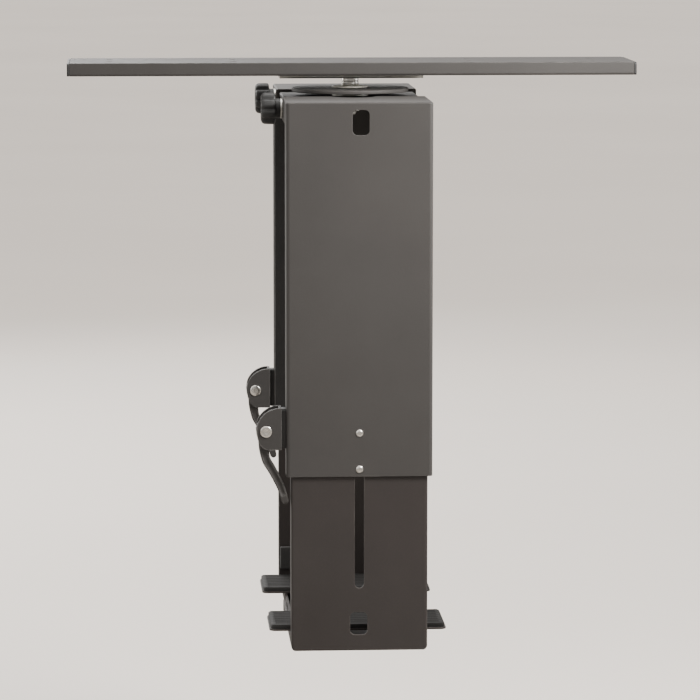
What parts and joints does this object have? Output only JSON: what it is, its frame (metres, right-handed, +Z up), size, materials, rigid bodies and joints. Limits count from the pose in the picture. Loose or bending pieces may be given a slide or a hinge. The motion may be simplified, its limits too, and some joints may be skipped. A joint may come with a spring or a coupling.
{
  "type": "under-desk cpu holder",
  "caption": "Under-desk tower holder: nested slotted side brackets with cam levers, adjustable width and height, hung from a swivel on a sliding track carriage.",
  "frame": {"origin": "middle of the track's top face, where it rests on the desk's underside, on the swivel axis", "axes": "+Z up into the desk, +X along the track towards the back of the desk (-X is the user's side, where the levers and knobs are), -Y the near side plate"},
  "size_m": [0.434, 0.2484, 0.45],
  "materials": {
    "powder_coat": "fine-texture warm black powder coat on 2 mm steel",
    "powder_coat_lower": "fine-texture warm black powder coat on 2 mm steel",
    "cap_plastic": "moulded matte black",
    "zinc": "zinc-plated steel",
    "zinc_bright": "bright zinc-plated steel",
    "nylon": "natural moulded nylon",
    "eva_foam": "closed-cell foam strip",
    "lever_plastic": "moulded matte black",
    "lever_grey": "satin dark grey die-cast lever",
    "knob_plastic": "moulded matte black"
  },
  "bodies": {
    "desk_track": {"track": "powder_coat", "track_end_cap_front": "cap_plastic", "track_end_cap_rear": "cap_plastic"},
    "trolley": {"carriage": "zinc", "glide_front_near": "nylon", "glide_front_far": "nylon", "glide_rear_near": "nylon", "glide_rear_far": "nylon", "pivot_bolt": "zinc", "pivot_collar": "zinc_bright", "thrust_washer": "nylon", "lower_washer": "nylon", "pivot_nut": "zinc"},
    "swivel_head": {"bridge_channel": "powder_coat", "swivel_disc": "powder_coat", "swivel_hub": "zinc", "pivot_bushing": "nylon"},
    "near_upper": {"near_upper_bracket": "powder_coat", "near_guide_rivets": "zinc_bright", "near_pad_front": "eva_foam", "near_pad_rear": "eva_foam", "near_lever_pin": "zinc_bright", "near_lever_ear": "powder_coat", "near_ear_spacer": "lever_plastic", "near_ear_screws": "zinc", "near_clamp_shoe": "nylon", "near_width_nut": "zinc"},
    "near_lever": {"near_cam_lever": "lever_grey"},
    "near_width_knob": {"near_knob": "knob_plastic", "near_knob_stud": "zinc", "near_knob_washer": "zinc"},
    "near_lower": {"near_lower_bracket": "powder_coat_lower", "near_shelf": "powder_coat_lower", "near_shelf_pad": "eva_foam", "near_toe_pads": "eva_foam", "bottom_clamp_bolt": "zinc"},
    "far_upper": {"far_upper_bracket": "powder_coat", "far_guide_rivets": "zinc_bright", "far_pad_front": "eva_foam", "far_pad_rear": "eva_foam", "far_lever_pin": "zinc_bright", "far_lever_ear": "powder_coat", "far_ear_spacer": "lever_plastic", "far_ear_screws": "zinc", "far_clamp_shoe": "nylon", "far_width_nut": "zinc"},
    "far_lever": {"far_cam_lever": "lever_grey"},
    "far_width_knob": {"far_knob": "knob_plastic", "far_knob_stud": "zinc", "far_knob_washer": "zinc"},
    "far_lower": {"far_lower_bracket": "powder_coat_lower", "far_shelf": "powder_coat_lower", "far_shelf_pad": "eva_foam", "far_toe_pads": "eva_foam"},
    "bottom_knob": {"bottom_clamp_knob": "knob_plastic"}
  },
  "joints": [
    {"name": "track_slide", "type": "slide", "parent": "desk_track", "child": "trolley", "axis": [1, 0, 0], "range_m": [-0.145, 0.145]},
    {"name": "swivel", "type": "hinge", "parent": "trolley", "child": "swivel_head", "pos_m": [0, 0, -0.0225], "axis": [0, 0, 1], "continuous": true},
    {"name": "near_width", "type": "slide", "parent": "swivel_head", "child": "near_upper", "axis": [0, 1, 0], "range_m": [-0.005, 0.045]},
    {"name": "near_height", "type": "slide", "parent": "near_upper", "child": "near_lower", "axis": [0, 0, 1], "range_m": [-0.109, 0.088]},
    {"name": "near_lever_turn", "type": "hinge", "parent": "near_upper", "child": "near_lever", "pos_m": [-0.0699, -0.113, -0.2705], "axis": [0, 1, 0], "range_deg": [0, 150]},
    {"name": "near_knob_turn", "type": "hinge", "parent": "near_upper", "child": "near_width_knob", "pos_m": [-0.06, -0.062, -0.033], "axis": [1, 0, 0], "continuous": true},
    {"name": "far_width", "type": "slide", "parent": "swivel_head", "child": "far_upper", "axis": [0, -1, 0], "range_m": [-0.005, 0.045]},
    {"name": "far_height", "type": "slide", "parent": "far_upper", "child": "far_lower", "axis": [0, 0, 1], "range_m": [-0.109, 0.088]},
    {"name": "far_lever_turn", "type": "hinge", "parent": "far_upper", "child": "far_lever", "pos_m": [-0.0699, 0.113, -0.2705], "axis": [0, 1, 0], "range_deg": [0, 150]},
    {"name": "far_knob_turn", "type": "hinge", "parent": "far_upper", "child": "far_width_knob", "pos_m": [-0.06, 0.062, -0.033], "axis": [1, 0, 0], "continuous": true},
    {"name": "bottom_knob_turn", "type": "hinge", "parent": "near_lower", "child": "bottom_knob", "pos_m": [0, 0, -0.445], "axis": [0, 0, 1], "continuous": true}
  ],
  "couplings": [
    {"joint": "far_height", "follows": "near_height", "ratio": 1}
  ]
}
